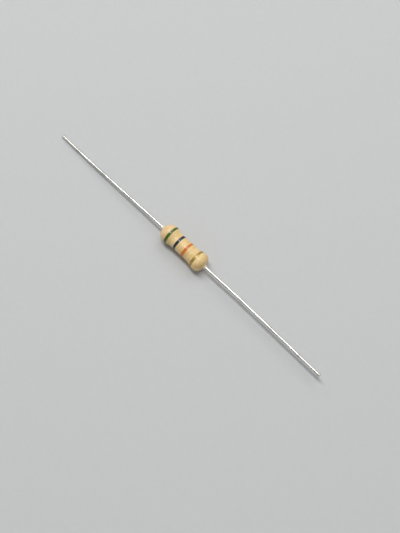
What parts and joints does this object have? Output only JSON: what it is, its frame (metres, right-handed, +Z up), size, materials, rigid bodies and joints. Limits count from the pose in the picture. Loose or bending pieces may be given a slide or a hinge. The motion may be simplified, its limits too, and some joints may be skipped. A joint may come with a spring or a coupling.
{
  "type": "axial resistor",
  "caption": "Lacquered dog-bone film resistor with painted colour bands and a round wire lead at each end; it limits current in a circuit.",
  "frame": {"origin": "the point of the resting surface straight below the middle of the body", "axes": "+X along the axis of the body towards the gold band, +Z up from the surface that it lies on"},
  "size_m": [0.0584, 0.0032, 0.0033],
  "materials": {
    "ceramic": "unglazed alumina, fine matt",
    "carbon": "pyrolytic carbon film, dark grey with a dull sheen",
    "cap_steel": "pressed and tinned steel, satin",
    "tinned_wire": "bright tinned wire with faint drawing lines",
    "lacquer": "dipped beige lacquer, semi-gloss with slow waves",
    "green_paint": "green marking paint under a clear gloss",
    "blue_paint": "dark blue marking paint under a clear gloss",
    "orange_paint": "orange marking paint under a clear gloss",
    "gold_paint": "gold bronze marking paint, metallic"
  },
  "bodies": {
    "root": {"ceramic_core": "ceramic", "carbon_film": "carbon", "green_end_cap": "cap_steel", "gold_end_cap": "cap_steel", "green_lead": "tinned_wire", "gold_lead": "tinned_wire", "lacquer_body": "lacquer", "green_band": "green_paint", "blue_band": "blue_paint", "orange_band": "orange_paint", "gold_band": "gold_paint"}
  },
  "joints": []
}
